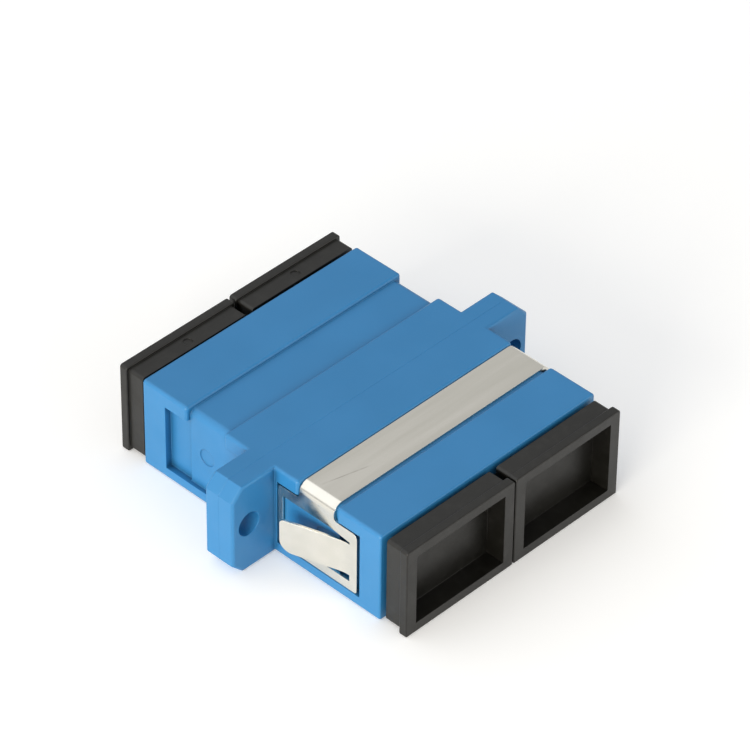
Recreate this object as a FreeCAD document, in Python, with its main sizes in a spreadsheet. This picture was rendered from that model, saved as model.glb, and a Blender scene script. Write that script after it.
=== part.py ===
"""Duplex fibre adapter with a panel flange, a spring clip and four dust caps.

Units are millimetres.  X runs across the two ports, Y from the front mouths to
the rear mouths and Z up.  The origin lies on the bottom face, midway across,
at the seam where the two halves of the housing are welded together.
"""
import FreeCAD, Part
import math
import os
import re
import Sketcher

SIZES = {
    "body_width": 25.4,
    "body_height": 9.15,
    "front_length": 13.72,
    "rear_length": 14.02,
    "long_edge_round": 0.33,
    "mouth_edge_round": 0.2,
    "seam_bevel": 0.02,
    "port_pitch": 12.7,
    "port_width": 9.1,
    "port_height": 7.5,
    "key_width": 2.5,
    "key_length": 6.5,
    "flange_width": 35.02,
    "flange_thickness": 3.24,
    "flange_corner": 1.15,
    "flange_edge_round": 0.3,
    "screw_inset": 1.88,
    "screw_lift": 0.25,
    "screw_hole": 2.3,
    "saddle_start": 4.3,
    "saddle_end": 8.73,
    "saddle_top_depth": 0.36,
    "saddle_side_depth": 0.43,
    "saddle_round": 0.65,
    "saddle_wall_round": 0.3,
    "pocket_start": 1.85,
    "pocket_margin": 0.38,
    "pocket_low": 1.08,
    "pocket_drop": 1.44,
    "pocket_depth": 0.66,
    "ejector_mark": 1.65,
    "ejector_along": 6.8,
    "ejector_lift": 0.12,
    "mark_depth": 0.1,
    "sheet": 0.22,
    "strap_width": 3.96,
    "strap_gap": 0.08,
    "leg_spread": 0.12,
    "clip_shift": 0.2,
    "bend_radius": 0.75,
    "plate_front": 10.98,
    "plate_rear": 1.97,
    "plate_low": 1.11,
    "plate_drop": 1.67,
    "plate_corner": 0.5,
    "foot_corner": 0.3,
    "neck_round": 0.35,
    "window_front": 10.15,
    "window_rear": 2.41,
    "window_low": 2.05,
    "window_drop": 2.63,
    "window_slope": 2.15,
    "window_dip": 0.27,
    "tongue_low": 2.7,
    "tongue_drop": 3.1,
    "tongue_root": 0.5,
    "tongue_length": 6.0,
    "tongue_lean": 18.0,
    "tongue_bend": 2.6,
    "tongue_low_corner": 1.2,
    "tongue_high_corner": 0.4,
    "seat_clearance": 0.1,
    "latch_plate_width": 10.1,
    "latch_plate_height": 7.7,
    "latch_plate_thickness": 1.4,
    "arm_outer": 3.95,
    "arm_thickness": 0.8,
    "arm_height": 3.6,
    "arm_reach": 8.8,
    "hook_depth": 0.7,
    "hook_length": 1.1,
    "holder_diameter": 4.4,
    "holder_lip": 0.55,
    "ferrule": 2.5,
    "sleeve_wall": 0.35,
    "sleeve_length": 11.4,
    "sleeve_slit": 0.5,
    "sleeve_clearance": 0.05,
    "lip_bore": 2.9,
    "cap_spacing": 0.12,
    "cap_clearance": 0.01,
    "rim_length": 0.85,
    "neck_length": 1.7,
    "neck_inset": 0.25,
    "cap_gap": 0.06,
    "recess_width": 10.28,
    "recess_height": 7.2,
    "recess_depth": 1.9,
    "rim_top_corner": 0.28,
    "rim_low_corner": 0.15,
    "neck_corner": 0.3,
    "spigot_corner": 0.25,
    "gate_mark": 0.9,
    "gate_along": 0.85,
    "cap_edge_round": 0.12,
    "tip_clearance": 0.3,
    "spigot_wall": 0.9,
    "plug_clearance": 0.2,
    "cap_play": 0.14,
    "stand_off_front": 0.34,
    "stand_off_left": 0.24,
    "stand_off_right": 0.36,
}

doc = FreeCAD.newDocument("fibre_adapter")
SIDES = {"left": -1, "right": 1}


def make_sheet():
    """The spreadsheet of driving sizes, one named cell a row."""
    sheet = doc.addObject("Spreadsheet::Sheet", "Sizes")
    for row, (name, value) in enumerate(SIZES.items(), start=1):
        sheet.set(f"A{row}", name)
        sheet.set(f"B{row}", str(value))
        sheet.setAlias(f"B{row}", name)
    doc.recompute()
    return sheet


def bound(formula):
    """A formula of size names, written the way the sheet's cells are read."""
    return re.sub(r"[a-z_]+", lambda word: "Sizes." + word[0] if word[0] in SIZES else word[0], formula)


def worth(formula):
    """The present value of a formula of size names."""
    return float(sheet.evalExpression(bound(formula)))


def new_body(label):
    """An empty body whose label names its file."""
    body = doc.addObject("PartDesign::Body", label)
    body.Label = label
    return body


def new_sketch(body, name, role, offset="0"):
    """A sketch on one of the body's own planes, moved along its normal."""
    plane = [item for item in body.Origin.OriginFeatures if item.Role == role][0]
    sketch = body.newObject("Sketcher::SketchObject", name)
    sketch.AttachmentSupport = [(plane, "")]
    sketch.MapMode = "FlatFace"
    sketch.setExpression("AttachmentOffset.Base.z", bound(offset))
    return sketch


def pin(sketch, geometry, point, across, up):
    """Hold one point of the sketch at two formulas from the origin."""
    for kind, formula in (("DistanceX", across), ("DistanceY", up)):
        rule = Sketcher.Constraint(kind, -1, 1, geometry, point, worth(formula))
        sketch.setExpression(f"Constraints[{sketch.addConstraint(rule)}]", bound(formula))


def draw_outline(sketch, corners):
    """A closed outline of straight lines through corners given as formulas."""
    first = sketch.GeometryCount
    spots = [FreeCAD.Vector(worth(across), worth(up), 0) for across, up in corners]
    for start, end in zip(spots, spots[1:] + spots[:1]):
        sketch.addGeometry(Part.LineSegment(start, end), False)
    for step, (across, up) in enumerate(corners):
        after = first + (step + 1) % len(corners)
        sketch.addConstraint(Sketcher.Constraint("Coincident", first + step, 2, after, 1))
        pin(sketch, first + step, 1, across, up)


def draw_box(sketch, left, right, low, high):
    """A rectangle between four formulas."""
    draw_outline(sketch, [(left, low), (right, low), (right, high), (left, high)])


def draw_centred(sketch, width, height, across="0"):
    """A rectangle centred on a port's axis."""
    draw_box(sketch, f"{across} - ({width}) / 2", f"{across} + ({width}) / 2",
             f"(body_height - ({height})) / 2", f"(body_height + ({height})) / 2")


def draw_circle(sketch, across, up, diameter):
    """A circle with its centre and diameter given as formulas."""
    centre = FreeCAD.Vector(worth(across), worth(up), 0)
    circle = Part.Circle(centre, FreeCAD.Vector(0, 0, 1), worth(diameter) / 2)
    number = sketch.addGeometry(circle, False)
    pin(sketch, number, 3, across, up)
    rule = Sketcher.Constraint("Diameter", number, worth(diameter))
    sketch.setExpression(f"Constraints[{sketch.addConstraint(rule)}]", bound(diameter))


def settle(feature):
    """Work the feature out and stop if it failed."""
    doc.recompute()
    if "Invalid" in feature.State or feature.Shape.isNull():
        raise RuntimeError(f"{feature.Name} failed: {feature.State}")
    return feature


def pad(body, sketch, length, name):
    """Grow the sketch into a solid of the given length."""
    feature = body.newObject("PartDesign::Pad", name)
    feature.Profile = sketch
    feature.setExpression("Length", bound(length))
    return settle(feature)


def pocket(body, sketch, name, depth, backwards=False):
    """Cut the sketch into the solid and check that it took material away."""
    before = body.Shape.Volume
    feature = body.newObject("PartDesign::Pocket", name)
    feature.Profile = sketch
    feature.Reversed = backwards
    feature.setExpression("Length", bound(depth))
    settle(feature)
    if body.Shape.Volume >= before:
        raise RuntimeError(f"{name} of {body.Label} cuts nothing")
    return feature


def dress(body, kind, name, size, keep):
    """A fillet or chamfer on every edge whose middle and direction pass the test."""
    base = body.Tip
    names = []
    for number, edge in enumerate(base.Shape.Edges, start=1):
        middle = (edge.FirstParameter + edge.LastParameter) / 2
        if keep(edge.valueAt(middle), edge.tangentAt(middle)):
            names.append(f"Edge{number}")
    if not names:
        raise RuntimeError(f"{name} of {body.Label} finds no edge")
    feature = body.newObject(f"PartDesign::{kind}", name)
    feature.Base = (base, names)
    feature.setExpression("Radius" if kind == "Fillet" else "Size", bound(size))
    return settle(feature)


def mirror(body, name, features):
    """Repeat features on the other side of the body's YZ plane."""
    feature = body.newObject("PartDesign::Mirrored", name)
    feature.Originals = features
    plane = [item for item in body.Origin.OriginFeatures if item.Role == "YZ_Plane"][0]
    feature.MirrorPlane = (plane, [""])
    body.Tip = feature
    return settle(feature)


def place(body, across, along, turned):
    """Put a body on a port's axis, turned half round where it faces the rear."""
    turn = FreeCAD.Rotation(FreeCAD.Vector(0, 0, 1), 180 if turned else 0)
    body.Placement = FreeCAD.Placement(FreeCAD.Vector(), turn)
    body.setExpression("Placement.Base.x", bound(across))
    body.setExpression("Placement.Base.y", bound(along))


def near(value, formula):
    """Whether a coordinate lies on the plane that a formula gives."""
    return abs(value - worth(formula)) < 0.01


def runs_along(direction, axis):
    """Whether an edge runs along X, Y or Z, given as 0, 1 or 2."""
    return abs(direction[axis]) > 0.999


def make_shell(body, length):
    """One half of the housing's outside: its half of the flange, then the box."""
    section = new_sketch(body, "flange_section", "XZ_Plane")
    draw_box(section, "-flange_width / 2", "flange_width / 2", "0", "body_height")
    pad(body, section, "flange_thickness / 2", "flange")
    dress(body, "Chamfer", "flange_corners", "flange_corner", lambda at, way: runs_along(way, 1))
    dress(body, "Fillet", "flange_edges", "flange_edge_round",
          lambda at, way: near(at.y, "-flange_thickness / 2"))
    dress(body, "Chamfer", "seam_edges", "seam_bevel", lambda at, way: near(at.y, "0"))
    section = new_sketch(body, "shell_section", "XZ_Plane", "seam_bevel")
    draw_box(section, "-body_width / 2", "body_width / 2", "0", "body_height")
    pad(body, section, f"{length} - seam_bevel", "shell")
    dress(body, "Fillet", "long_edges", "long_edge_round",
          lambda at, way: runs_along(way, 1) and near(abs(at.x), "body_width / 2"))
    dress(body, "Fillet", "mouth_edges", "mouth_edge_round", lambda at, way: near(at.y, f"-{length}"))


def cut_saddle(body):
    """The low band round the top and sides where the clip's strap sits."""
    start = "saddle_start"
    section = new_sketch(body, "saddle_section", "XZ_Plane", start)
    inner = "body_width / 2 - saddle_side_depth"
    outer = "body_width / 2 + 1"
    draw_outline(section, [
        (f"-({outer})", "pocket_low"), (f"-({inner})", "pocket_low"),
        (f"-({inner})", "body_height - saddle_top_depth"), (inner, "body_height - saddle_top_depth"),
        (inner, "pocket_low"), (outer, "pocket_low"),
        (outer, "body_height + 1"), (f"-({outer})", "body_height + 1")])
    pocket(body, section, "saddle", "saddle_end - saddle_start", backwards=True)
    dress(body, "Fillet", "saddle_edges", "saddle_round",
          lambda at, way: runs_along(way, 1) and near(abs(at.x), inner)
          and near(at.z, "body_height - saddle_top_depth"))
    dress(body, "Fillet", "saddle_walls", "saddle_wall_round",
          lambda at, way: runs_along(way, 2) and near(abs(at.x), "body_width / 2")
          and (near(at.y, "-saddle_end") or near(at.y, f"-{start}")))


def cut_side_pockets(body):
    """Pockets in the two short sides for the clip's plates, and the round ejector marks."""
    for side, sign in SIDES.items():
        plan = new_sketch(body, f"pocket_plan_{side}", "XY_Plane", "pocket_low")
        outer = f"{sign} * (body_width / 2 + 1)"
        for start, end, depth in (("pocket_start", "saddle_start", "saddle_side_depth"),
                                  ("saddle_end", "(plate_front + pocket_margin)", "pocket_depth")):
            draw_box(plan, f"{sign} * (body_width / 2 - {depth})", outer, f"-{end}", f"-{start}")
        pocket(body, plan, f"side_pocket_{side}", "body_height - pocket_drop - pocket_low", backwards=True)
        wall = f"{sign} * (body_width / 2 - saddle_side_depth)"
        face = new_sketch(body, f"mark_face_{side}", "YZ_Plane", wall)
        draw_circle(face, "-ejector_along", "body_height / 2 + ejector_lift", "ejector_mark")
        pocket(body, face, f"ejector_mark_{side}", "mark_depth", backwards=sign < 0)


def cut_ports(body, length):
    """The two ports, the seats behind them, their keyways and the screw holes."""
    ports = new_sketch(body, "port_section", "XZ_Plane")
    seats = new_sketch(body, "seat_section", "XZ_Plane")
    keys = new_sketch(body, "key_plan", "XY_Plane")
    holes = new_sketch(body, "screw_section", "XZ_Plane")
    for sign in SIDES.values():
        axis = f"{sign} * port_pitch / 2"
        draw_centred(ports, "port_width", "port_height", axis)
        draw_centred(seats, "latch_plate_width + 2 * seat_clearance",
                     "latch_plate_height + 2 * seat_clearance", axis)
        draw_box(keys, f"{axis} - key_width / 2", f"{axis} + key_width / 2",
                 f"-{length} - 1", f"key_length - {length}")
        draw_circle(holes, f"{sign} * (flange_width / 2 - screw_inset)",
                    "body_height / 2 + screw_lift", "screw_hole")
    pocket(body, ports, "ports", f"{length} + 1", backwards=True)
    pocket(body, seats, "seats", "latch_plate_thickness", backwards=True)
    pocket(body, keys, "keyways", "body_height / 2", backwards=True)
    pocket(body, holes, "screw_holes", "flange_thickness", backwards=True)


def make_housing(label, turned):
    """One moulded half of the housing; the rear half is alike but a little longer."""
    length = f"{'rear' if turned else 'front'}_length"
    body = new_body(label)
    make_shell(body, length)
    cut_saddle(body)
    cut_side_pockets(body)
    cut_ports(body, length)
    place(body, "0", "0", turned)
    return body


def make_latch(label, side, turned):
    """A moulded latch body: seat plate, two hooked arms and half of the sleeve's holder."""
    body = new_body(label)
    section = new_sketch(body, "plate_section", "XZ_Plane")
    draw_centred(section, "latch_plate_width", "latch_plate_height")
    pad(body, section, "latch_plate_thickness", "seat_plate")
    section = new_sketch(body, "holder_section", "XZ_Plane")
    draw_circle(section, "0", "body_height / 2", "holder_diameter")
    reach = "sleeve_length / 2 + sleeve_clearance"
    pad(body, section, f"{reach} + holder_lip", "holder")
    plan = new_sketch(body, "arm_plan", "XY_Plane", "(body_height - arm_height) / 2")
    inner = "arm_outer - arm_thickness"
    back = "hook_length - arm_reach"
    draw_outline(plan, [("arm_outer", "0"), ("arm_outer", "-arm_reach"), (inner, "-arm_reach"),
                        (f"{inner} - hook_depth", back), (inner, back), (inner, "0")])
    arm = pad(body, plan, "arm_height", "arm")
    mirror(body, "other_arm", [arm])
    section = new_sketch(body, "bore_section", "XZ_Plane")
    draw_circle(section, "0", "body_height / 2", "ferrule + 2 * sleeve_wall + 2 * sleeve_clearance")
    pocket(body, section, "sleeve_bore", reach, backwards=True)
    section = new_sketch(body, "lip_section", "XZ_Plane")
    draw_circle(section, "0", "body_height / 2", "lip_bore")
    pocket(body, section, "lip_opening", f"{reach} + 2 * holder_lip", backwards=True)
    place(body, f"{SIDES[side]} * port_pitch / 2", "0", turned)
    return body


def make_sleeve(label, side):
    """The split ceramic sleeve that lines up two ferrules."""
    body = new_body(label)
    section = new_sketch(body, "ring_section", "XZ_Plane", "-sleeve_length / 2")
    draw_circle(section, "0", "body_height / 2", "ferrule + 2 * sleeve_wall")
    draw_circle(section, "0", "body_height / 2", "ferrule")
    pad(body, section, "sleeve_length", "ring")
    section = new_sketch(body, "slit_section", "XZ_Plane", "-sleeve_length / 2")
    draw_box(section, "-sleeve_slit / 2", "sleeve_slit / 2",
             "body_height / 2", "body_height / 2 + ferrule / 2 + 2 * sleeve_wall")
    pocket(body, section, "slit", "sleeve_length", backwards=True)
    place(body, f"{SIDES[side]} * port_pitch / 2", "0", False)
    return body


def clip_strap(body):
    """The clip's strap over the top, bent down at both ends."""
    outer = "body_width / 2 + leg_spread"
    top = "body_height - saddle_top_depth + sheet"
    section = new_sketch(body, "strap_section", "XZ_Plane", "saddle_start + strap_gap")
    foot = "body_height - plate_drop - bend_radius"
    draw_outline(section, [
        (f"-({outer})", foot), (f"-({outer})", top), (outer, top), (outer, foot),
        (f"{outer} - sheet", foot), (f"{outer} - sheet", f"{top} - sheet"),
        (f"-({outer} - sheet)", f"{top} - sheet"), (f"-({outer} - sheet)", foot)])
    pad(body, section, "strap_width", "strap")
    dress(body, "Fillet", "outer_bends", "bend_radius + sheet",
          lambda at, way: runs_along(way, 1) and near(at.z, top) and near(abs(at.x), outer))
    dress(body, "Fillet", "inner_bends", "bend_radius",
          lambda at, way: runs_along(way, 1) and near(at.z, f"{top} - sheet"))
    return outer


def clip_plate(body, outer):
    """The left side plate with its window, and the tongue bent out of it."""
    face = new_sketch(body, "plate_outline", "YZ_Plane", f"-({outer})")
    draw_box(face, "-plate_front", "-plate_rear", "plate_low", "body_height - plate_drop")
    high = "body_height - window_drop"
    draw_outline(face, [
        ("-window_front", "window_low"), ("-window_rear", "window_low"), ("-window_rear", high),
        ("window_slope - window_front", high), ("-window_front", f"{high} - window_dip")])
    plate = pad(body, face, "sheet", "plate")
    plan = new_sketch(body, "tongue_plan", "XY_Plane", "tongue_low")
    lean = "tongue_lean * 1 deg"
    root = "tongue_root - window_front"
    start = "-(window_front + plate_front) / 2"
    tip_x = f"-({outer}) - tongue_length * sin({lean})"
    tip_y = f"{root} + tongue_length * cos({lean})"
    draw_outline(plan, [
        (f"-({outer})", start), (f"-({outer})", root), (tip_x, tip_y),
        (f"{tip_x} + sheet * cos({lean})", f"{tip_y} + sheet * sin({lean})"),
        (f"sheet - ({outer})", f"{root} + sheet * tan({lean} / 2)"), (f"sheet - ({outer})", start)])
    tongue = pad(body, plan, "body_height - tongue_drop - tongue_low", "tongue")
    mirror(body, "other_side", [plate, tongue])


def round_clip(body, outer):
    """The rounded corners of the clip's plates, necks, windows and tongues."""
    lean = math.radians(worth("tongue_lean"))
    tip = worth("tongue_root - window_front") + worth("tongue_length") * math.cos(lean)
    high = "body_height - plate_drop"

    def across(way):
        return runs_along(way, 0)

    def on_tip(at):
        return abs(at.x) > worth(outer) + 1 and at.y > tip - 0.1

    def on_bend(at, way, face):
        beside_root = abs(at.y - worth("tongue_root - window_front")) < 0.1
        return beside_root and runs_along(way, 2) and near(abs(at.x), face)

    dress(body, "Fillet", "outer_tongue_bends", "tongue_bend",
          lambda at, way: on_bend(at, way, outer))
    dress(body, "Fillet", "inner_tongue_bends", "tongue_bend + sheet",
          lambda at, way: on_bend(at, way, f"{outer} - sheet"))
    dress(body, "Fillet", "shoulders", "plate_corner",
          lambda at, way: across(way) and near(at.y, "-plate_front") and near(at.z, high))
    dress(body, "Fillet", "feet", "foot_corner",
          lambda at, way: across(way) and (near(at.z, "plate_low") or near(at.y, "-plate_rear")))
    dress(body, "Fillet", "necks", "neck_round",
          lambda at, way: across(way) and near(at.z, high) and abs(at.x) > worth(outer) - 1)
    dress(body, "Fillet", "window_corners", "sheet",
          lambda at, way: across(way) and near(at.y, "-window_rear"))
    dress(body, "Fillet", "tongue_low_ends", "tongue_low_corner",
          lambda at, way: on_tip(at) and near(at.z, "tongue_low") and abs(way.x) > 0.9)
    dress(body, "Fillet", "tongue_high_ends", "tongue_high_corner",
          lambda at, way: on_tip(at) and near(at.z, "body_height - tongue_drop") and abs(way.x) > 0.9)


def make_clip(label):
    """The spring clip, cut and folded from one strip of sheet steel."""
    body = new_body(label)
    outer = clip_strap(body)
    clip_plate(body, outer)
    round_clip(body, outer)
    place(body, "clip_shift", "0", False)
    return body


def make_cap(label, side, turned, stand_off):
    """A moulded dust cap: recessed head, neck and a hollow spigot that fills the port."""
    body = new_body(label)
    length = f"{'rear' if turned else 'front'}_length"
    reach = "front_length - arm_reach - tip_clearance"
    width = "(port_pitch - cap_spacing)"
    section = new_sketch(body, "spigot_section", "XZ_Plane", f"-({reach})")
    draw_centred(section, "port_width - 2 * plug_clearance", "port_height - 2 * plug_clearance")
    pad(body, section, f"{reach} + neck_length", "spigot")
    dress(body, "Fillet", "spigot_corners", "spigot_corner", lambda at, way: runs_along(way, 1))
    section = new_sketch(body, "neck_section", "XZ_Plane", "cap_gap")
    draw_centred(section, f"{width} - 2 * neck_inset",
                 "body_height - 2 * cap_clearance - 2 * neck_inset")
    pad(body, section, "neck_length", "neck")
    section = new_sketch(body, "rim_section", "XZ_Plane", "cap_gap + neck_length")
    draw_centred(section, width, "body_height - 2 * cap_clearance")
    pad(body, section, "rim_length", "rim")
    neck_end = worth("-(cap_gap + neck_length)")
    top = "body_height - cap_clearance"
    for name, size, keep in (
            ("neck_corners", "neck_corner", lambda at: at.y > neck_end),
            ("rim_top_corners", "rim_top_corner", lambda at: at.y < neck_end and near(at.z, top)),
            ("rim_low_corners", "rim_low_corner", lambda at: at.y < neck_end and not near(at.z, top))):
        dress(body, "Fillet", name, size,
              lambda at, way: runs_along(way, 1) and abs(at.x) > worth("port_width / 2") and keep(at))
    beyond_neck = worth(f"{width} / 2 - neck_inset") + 0.05
    dress(body, "Fillet", "rim_edges", "cap_edge_round",
          lambda at, way: near(at.y, "-(cap_gap + neck_length + rim_length)")
          or near(at.y, "-(cap_gap + neck_length)") and abs(at.x) > beyond_neck)
    section = new_sketch(body, "recess_section", "XZ_Plane", "cap_gap + neck_length + rim_length")
    draw_centred(section, "recess_width", "recess_height")
    pocket(body, section, "recess", "recess_depth")
    section = new_sketch(body, "hollow_section", "XZ_Plane", f"-({reach})")
    draw_centred(section, "port_width - 2 * plug_clearance - 2 * spigot_wall",
                 "port_height - 2 * plug_clearance - 2 * spigot_wall")
    pocket(body, section, "hollow", reach, backwards=True)
    marked_face = f"{top} - neck_inset" if turned else "cap_clearance + neck_inset"
    face = new_sketch(body, "mark_face", "XY_Plane", marked_face)
    draw_circle(face, "0", "-(cap_gap + gate_along)", "gate_mark")
    pocket(body, face, "gate_mark_cut", "mark_depth", backwards=not turned)
    sign = 1 if turned else -1
    across = f"{SIDES[side]} * port_pitch / 2"
    if turned and side == "right":
        across += " + cap_play"
    place(body, across, f"{sign} * ({length} + {stand_off})", turned)
    return body


def make_all():
    """Every piece of the adapter, as it would come apart on a bench."""
    bodies = [make_housing("front_housing", False), make_housing("rear_housing", True)]
    bodies.append(make_clip("panel_clip"))
    for side in SIDES:
        bodies.append(make_sleeve(f"split_sleeve_{side}", side))
        for end, turned in (("front", False), ("rear", True)):
            stand_off = f"stand_off_{side}" if turned else "stand_off_front"
            bodies.append(make_latch(f"latch_body_{end}_{side}", side, turned))
            bodies.append(make_cap(f"dust_cap_{end}_{side}", side, turned, stand_off))
    return bodies


def check_all(bodies):
    """Stop if a feature failed or a piece isn't one valid solid."""
    for item in doc.Objects:
        if "Invalid" in item.State or "Error" in item.State:
            raise RuntimeError(f"{item.Name} failed: {item.State}")
    for body in bodies:
        shape = body.Shape
        if shape.isNull() or not shape.isValid() or len(shape.Solids) != 1:
            raise RuntimeError(f"{body.Label} is not one valid solid")


sheet = make_sheet()
bodies = make_all()
doc.recompute()
check_all(bodies)
os.makedirs("parts", exist_ok=True)
for body in bodies:
    body.Shape.exportStep(f"parts/{body.Label}.step")
    print(f"{body.Label}: {body.Shape.Volume:.1f} mm3")
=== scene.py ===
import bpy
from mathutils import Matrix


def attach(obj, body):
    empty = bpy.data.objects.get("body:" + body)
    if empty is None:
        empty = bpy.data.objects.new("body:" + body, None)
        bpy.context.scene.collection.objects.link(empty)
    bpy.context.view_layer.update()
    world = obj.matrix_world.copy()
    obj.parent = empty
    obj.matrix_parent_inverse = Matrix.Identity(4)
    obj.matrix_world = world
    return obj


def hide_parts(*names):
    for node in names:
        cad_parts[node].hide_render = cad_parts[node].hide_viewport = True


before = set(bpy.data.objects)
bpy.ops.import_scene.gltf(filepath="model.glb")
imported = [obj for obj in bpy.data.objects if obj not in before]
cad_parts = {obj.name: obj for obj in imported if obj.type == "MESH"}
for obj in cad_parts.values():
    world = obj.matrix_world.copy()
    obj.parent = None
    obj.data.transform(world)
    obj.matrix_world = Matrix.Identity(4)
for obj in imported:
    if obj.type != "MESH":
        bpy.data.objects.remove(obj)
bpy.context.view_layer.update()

import math

import bmesh
import bpy
from mathutils import Matrix, Vector

MM = 0.001

# The camera stands to the left of the clip's end and looks down on the adapter with a long lens.
# Its lens and place were fitted to the photograph's square picture of 750 by 750.
RIGHT = Vector((0.70080612, -0.71329807, 0.00875467))
DOWN = Vector((-0.45295726, -0.45443863, -0.76701711))
FORWARD = Vector((0.55109029, 0.5335648, -0.64156691))
camera_data = bpy.data.cameras.new("photo_camera")
camera_data.sensor_width = 36.0
camera_data.lens = 233.9
camera_data.clip_start = 0.02
camera_data.clip_end = 20.0
camera = bpy.data.objects.new("photo_camera", camera_data)
bpy.context.scene.collection.objects.link(camera)
stand = Matrix((RIGHT, -DOWN, -FORWARD)).transposed().to_4x4()
stand.translation = Vector((-222.135, -215.661, 269.429)) * MM
camera.matrix_world = stand
bpy.context.scene.camera = camera
bpy.context.scene.view_settings.view_transform = "Standard"

# The two halves of the housing: satin blue moulded plastic, alike but for a small difference in
# length, and welded face to face, so the seam stays a thin flush line. The other sharp edges of
# each half have a small round.
JOIN_WITHIN = 0.002 * MM
FLAT_WITHIN = math.radians(0.4)
SHARP_FROM = math.radians(35)
ROUNDED_FROM = math.radians(40)
SEAM_REACH = 0.1 * MM


def clean_copy(node, body, round_size, material):
    """A copy of a CAD solid with its points joined, its flat faces whole and its edges rounded."""
    shape = bmesh.new()
    shape.from_mesh(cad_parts[node].data)
    bmesh.ops.remove_doubles(shape, verts=shape.verts, dist=JOIN_WITHIN)
    bmesh.ops.dissolve_limit(shape, angle_limit=FLAT_WITHIN, verts=shape.verts, edges=shape.edges)
    bmesh.ops.recalc_face_normals(shape, faces=shape.faces)
    for face in shape.faces:
        face.smooth = True
    rounded = shape.edges.layers.float.new("bevel_weight_edge")
    for edge in shape.edges:
        turn = edge.calc_face_angle(0.0)
        edge.smooth = turn < SHARP_FROM
        on_seam = all(abs(vert.co.y) < SEAM_REACH for vert in edge.verts)
        edge[rounded] = float(turn > ROUNDED_FROM and not on_seam)
    mesh = bpy.data.meshes.new(node + "_shown")
    shape.to_mesh(mesh)
    shape.free()
    mesh.materials.append(material)
    piece = bpy.data.objects.new(node + "_shown", mesh)
    bpy.context.scene.collection.objects.link(piece)
    rounding = piece.modifiers.new("small_rounds", "BEVEL")
    rounding.limit_method = "WEIGHT"
    rounding.width = round_size
    rounding.segments = 2
    rounding.harden_normals = True
    weights = piece.modifiers.new("flat_faces", "WEIGHTED_NORMAL")
    weights.keep_sharp = True
    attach(piece, body)
    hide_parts(node)


class Nodes:
    """A short way to write a material's nodes."""

    def __init__(self, name):
        self.made = bpy.data.materials.new(name)
        self.made.use_nodes = True
        self.tree = self.made.node_tree
        self.shader = self.tree.nodes["Principled BSDF"]
        self.place = self.add("ShaderNodeTexCoord").outputs["Object"]

    def add(self, kind, **settings):
        """A new node with its settings."""
        node = self.tree.nodes.new(kind)
        for name, value in settings.items():
            setattr(node, name, value)
        return node

    def link(self, start, end):
        """A link from an output to an input."""
        self.tree.links.new(start, end)

    def noise(self, scale, detail, stretch=None):
        """Noise of about 1/scale metres, stretched by a factor along each axis."""
        node = self.add("ShaderNodeTexNoise")
        node.inputs["Scale"].default_value = scale
        node.inputs["Detail"].default_value = detail
        start = self.place
        if stretch:
            mapping = self.add("ShaderNodeMapping")
            mapping.inputs["Scale"].default_value = stretch
            self.link(start, mapping.inputs["Vector"])
            start = mapping.outputs["Vector"]
        self.link(start, node.inputs["Vector"])
        return node.outputs["Fac"]

    def between(self, factor, low, high, start=0.35, end=0.65):
        """A number that goes from low to high while the factor goes from start to end."""
        node = self.add("ShaderNodeMapRange")
        node.inputs["From Min"].default_value = start
        node.inputs["From Max"].default_value = end
        node.inputs["To Min"].default_value = low
        node.inputs["To Max"].default_value = high
        self.link(factor, node.inputs["Value"])
        return node.outputs["Result"]

    def blend(self, factor, first, second):
        """A colour between two, led by a factor."""
        node = self.add("ShaderNodeMix", data_type="RGBA")
        self.link(factor, node.inputs["Factor"])
        for socket, colour in (("A", first), ("B", second)):
            end = [item for item in node.inputs if item.name == socket and item.type == "RGBA"][0]
            if isinstance(colour, tuple):
                end.default_value = (*colour, 1)
            else:
                self.link(colour, end)
        return [item for item in node.outputs if item.type == "RGBA"][0]

    def maths(self, operation, first, second=None):
        """A sum on one or two numbers, each a value or another node's output."""
        node = self.add("ShaderNodeMath", operation=operation)
        for socket, value in zip(node.inputs, (first, second)):
            if isinstance(value, float):
                socket.default_value = value
            elif value is not None:
                self.link(value, socket)
        return node.outputs["Value"]

    def bump(self, height, distance, strength, below=None):
        """A bumpy surface direction, laid over another one if that is given."""
        node = self.add("ShaderNodeBump")
        node.inputs["Distance"].default_value = distance
        node.inputs["Strength"].default_value = strength
        self.link(height, node.inputs["Height"])
        if below:
            self.link(below, node.inputs["Normal"])
        return node.outputs["Normal"]


# Painted shade: how far the occlusion in creases reaches, and how dark it makes the colour.
CREASE_SHADE_REACH = 0.9 * MM
CREASE_SHADE_LEVEL = 0.35
WAVE_DEPTH = 0.012 * MM


def moulded_tones(made, dark, light):
    """Soft clouds between two close tones."""
    clouds = made.between(made.noise(160.0, detail=2.0), 0.0, 1.0)
    return made.blend(clouds, dark, light)


def moulded_face(made, gloss_from, gloss_to, grain):
    """Uneven gloss, a fine grain and slow waves."""
    gloss = made.between(made.noise(420.0, detail=4.0), gloss_from, gloss_to)
    made.link(gloss, made.shader.inputs["Roughness"])
    fine = made.bump(made.noise(5200.0, detail=2.0), grain, strength=0.5)
    waves = made.bump(made.noise(240.0, detail=2.0), WAVE_DEPTH, strength=0.3, below=fine)
    made.link(waves, made.shader.inputs["Normal"])


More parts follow.
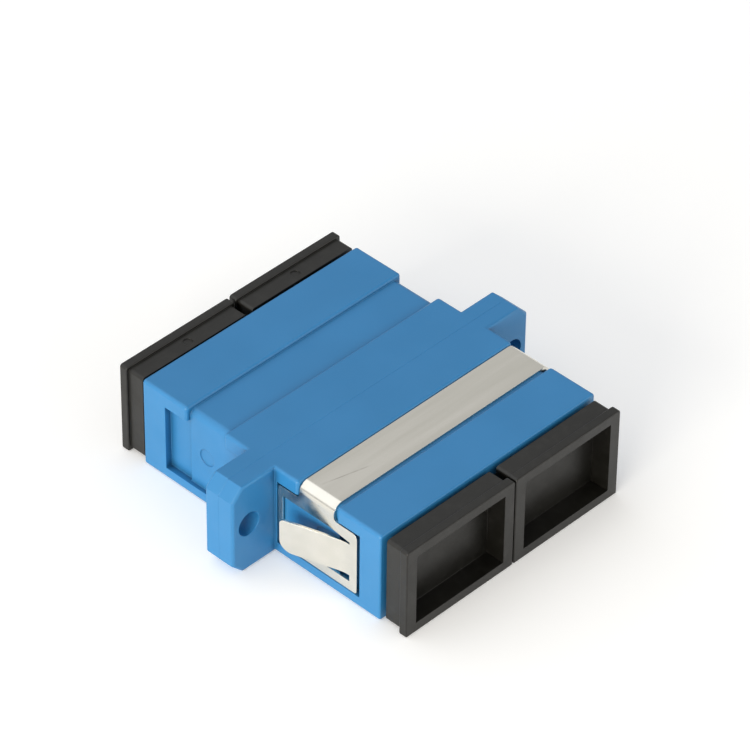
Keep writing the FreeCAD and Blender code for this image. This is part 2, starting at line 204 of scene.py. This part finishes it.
def moulded_plastic(name, dark, light, gloss_from, gloss_to, grain):
    """Moulded plastic, its colour darkened by painted shade in creases, gaps and holes."""
    made = Nodes(name)
    # Painted shade: an ambient-occlusion node darkens the base colour in creases, gaps and holes.
    creases = made.add("ShaderNodeAmbientOcclusion", only_local=True, samples=8)
    creases.inputs["Distance"].default_value = CREASE_SHADE_REACH
    open_to_light = made.between(creases.outputs["AO"], 0.0, 1.0, start=0.35, end=0.95)
    # deep is the colour of the painted shade in creases, not a tone of the plastic itself.
    deep = tuple(CREASE_SHADE_LEVEL * level for level in dark)
    tones = made.blend(open_to_light, deep, moulded_tones(made, dark, light))
    made.link(tones, made.shader.inputs["Base Color"])
    moulded_face(made, gloss_from, gloss_to, grain)
    return made.made


blue = moulded_plastic("housing_blue", (0.023, 0.193, 0.440), (0.027, 0.205, 0.464),
                       gloss_from=0.36, gloss_to=0.46, grain=0.004 * MM)
for half in ("front_housing", "rear_housing"):
    clean_copy(half, "adapter", 0.05 * MM, blue)


# The spring clip: one strip of bright rolled sheet steel, folded over the top, with a tongue bent
# out of each side plate to snap behind a panel. Faint rolling lines run along the strip, and the
# strap has one long scratch near its left bend.
def scratch_mark(made):
    """How deep the scratch is at each place, from 0 to 1: a thin line that fades at both ends."""
    line_place = made.add("ShaderNodeMapping")
    line_place.inputs["Rotation"].default_value = (0, 0, math.radians(14.5))
    line_place.inputs["Location"].default_value = (9.45 * MM, 8.38 * MM, 0)
    made.link(made.place, line_place.inputs["Vector"])
    along_across = made.add("ShaderNodeSeparateXYZ")
    made.link(line_place.outputs["Vector"], along_across.inputs["Vector"])
    from_line = made.maths("ABSOLUTE", along_across.outputs["Y"])
    from_middle = made.maths("ABSOLUTE", made.maths("SUBTRACT", along_across.outputs["X"], 2.3 * MM))
    line = made.between(from_line, 1.0, 0.0, start=0.02 * MM, end=0.09 * MM)
    length = made.between(from_middle, 1.0, 0.0, start=1.6 * MM, end=2.5 * MM)
    broken = made.between(made.noise(1500.0, detail=2.0), 0.25, 1.0, start=0.4, end=0.6)
    return made.maths("MULTIPLY", made.maths("MULTIPLY", line, length), broken)


def rolled_steel():
    """Bright steel with faint lines along the strip and the scratch."""
    made = Nodes("clip_steel")
    lines = made.noise(900.0, detail=4.0, stretch=(0.06, 1.0, 1.0))
    tones = made.blend(made.between(lines, 0.0, 1.0), (0.72, 0.70, 0.63), (0.76, 0.735, 0.67))
    worn = made.blend(made.maths("MULTIPLY", scratch_mark(made), 0.55), tones, (0.42, 0.40, 0.36))
    made.link(worn, made.shader.inputs["Base Color"])
    made.link(made.between(lines, 0.16, 0.24), made.shader.inputs["Roughness"])
    made.link(made.bump(lines, 0.003 * MM, strength=0.5), made.shader.inputs["Normal"])
    made.shader.inputs["Metallic"].default_value = 1.0
    return made.made


clean_copy("panel_clip", "adapter", 0.015 * MM, rolled_steel())

# The latch bodies inside the ports: natural white plastic, each with two hooked arms and half of
# the holder for the split sleeve. They sit in the seats on both sides of the weld seam.
natural = moulded_plastic("latch_natural", (0.70, 0.67, 0.58), (0.76, 0.73, 0.65),
                          gloss_from=0.35, gloss_to=0.5, grain=0.003 * MM)
for end in ("front", "rear"):
    for side in ("left", "right"):
        clean_copy(f"latch_body_{end}_{side}", "adapter", 0.04 * MM, natural)

# The split sleeves: polished white ceramic tubes, held loose in the latch bodies' holders, which
# line up the ferrules of the two plugs.
ceramic = moulded_plastic("sleeve_ceramic", (0.82, 0.81, 0.78), (0.86, 0.85, 0.83),
                          gloss_from=0.12, gloss_to=0.18, grain=0.001 * MM)
for side in ("left", "right"):
    clean_copy(f"split_sleeve_{side}", "adapter", 0.02 * MM, ceramic)


# The dust caps: soft black plastic, pushed into the ports by their hollow spigots. Handling has
# left faint greyish scuffs on them.
def cap_plastic():
    """Black plastic with scuffs."""
    made = Nodes("cap_black")
    scuffs = made.between(made.noise(1300.0, detail=5.0), 0.0, 0.3, start=0.5, end=0.8)
    tones = moulded_tones(made, (0.0050, 0.0046, 0.0034), (0.0070, 0.0066, 0.0050))
    made.link(made.blend(scuffs, tones, (0.030, 0.029, 0.0255)), made.shader.inputs["Base Color"])
    made.shader.inputs["Specular IOR Level"].default_value = 0.45
    moulded_face(made, gloss_from=0.34, gloss_to=0.44, grain=0.006 * MM)
    return made.made


black = cap_plastic()
for end in ("front", "rear"):
    for side in ("left", "right"):
        clean_copy(f"dust_cap_{end}_{side}", f"cap_{end}_{side}", 0.03 * MM, black)


# The floor and the studio: a pale seamless sheet that keeps the shadow, a broad lamp above and
# behind, one low on the left and one low in front. The sheet and the white surroundings look
# brighter to the camera and in reflections than they are as light on the object.
def seen_brighter(tree, dim, bright):
    """A level for camera, glossy and transmission rays, and a lower one for the rest."""
    path = tree.nodes.new("ShaderNodeLightPath")
    level = tree.nodes.new("ShaderNodeMapRange")
    level.inputs["To Min"].default_value = dim
    level.inputs["To Max"].default_value = bright
    shown = path.outputs["Is Camera Ray"]
    for ray in ("Is Glossy Ray", "Is Transmission Ray"):
        either = tree.nodes.new("ShaderNodeMath")
        either.operation = "MAXIMUM"
        tree.links.new(shown, either.inputs[0])
        tree.links.new(path.outputs[ray], either.inputs[1])
        shown = either.outputs["Value"]
    tree.links.new(shown, level.inputs["Value"])
    return level.outputs["Result"]


sheet = bpy.data.materials.new("floor_sheet")
sheet.use_nodes = True
paper = sheet.node_tree.nodes["Principled BSDF"]
paper.inputs["Base Color"].default_value = (0.92, 0.92, 0.92, 1)
paper.inputs["Roughness"].default_value = 0.8
paper.inputs["Emission Color"].default_value = (1, 1, 1, 1)
paper_glow = seen_brighter(sheet.node_tree, dim=0.0, bright=0.20)
sheet.node_tree.links.new(paper_glow, paper.inputs["Emission Strength"])

# The sheet lies a hair below the adapter's underside, so that the two don't share a plane.
SHEET_REACH = 3.0
SHEET_DROP = 0.02 * MM
floor_mesh = bpy.data.meshes.new("floor")
shape = bmesh.new()
bmesh.ops.create_grid(shape, x_segments=1, y_segments=1, size=SHEET_REACH)
bmesh.ops.translate(shape, verts=shape.verts, vec=(0, 0, -SHEET_DROP))
shape.to_mesh(floor_mesh)
shape.free()
floor_mesh.materials.append(sheet)
floor = bpy.data.objects.new("floor", floor_mesh)
bpy.context.scene.collection.objects.link(floor)

world = bpy.data.worlds.new("studio")
bpy.context.scene.world = world
world.use_nodes = True
surroundings = world.node_tree.nodes["Background"]
surroundings.inputs["Color"].default_value = (1, 1, 1, 1)
white_glow = seen_brighter(world.node_tree, dim=0.40, bright=0.63)
world.node_tree.links.new(white_glow, surroundings.inputs["Strength"])


def add_lamp(name, place, width, height, power, colour):
    """A soft lamp that looks at the adapter."""
    data = bpy.data.lights.new(name, "AREA")
    data.shape = "RECTANGLE"
    data.size = width
    data.size_y = height
    data.energy = power
    data.color = colour
    lamp = bpy.data.objects.new(name, data)
    bpy.context.scene.collection.objects.link(lamp)
    lamp.location = place
    lamp.rotation_euler = (-Vector(place)).to_track_quat("-Z", "Y").to_euler()


add_lamp("overhead_softbox", (-0.30, 0.46, 0.74), width=1.5, height=1.5, power=5.4,
         colour=(0.95, 0.975, 1.0))
add_lamp("left_softbox", (-0.79, -0.17, 0.21), width=0.6, height=0.36, power=6.9,
         colour=(1.0, 0.94, 0.83))
add_lamp("front_fill", (0.28, -0.75, 0.22), width=1.5, height=0.38, power=2.7,
         colour=(1.0, 0.96, 0.88))
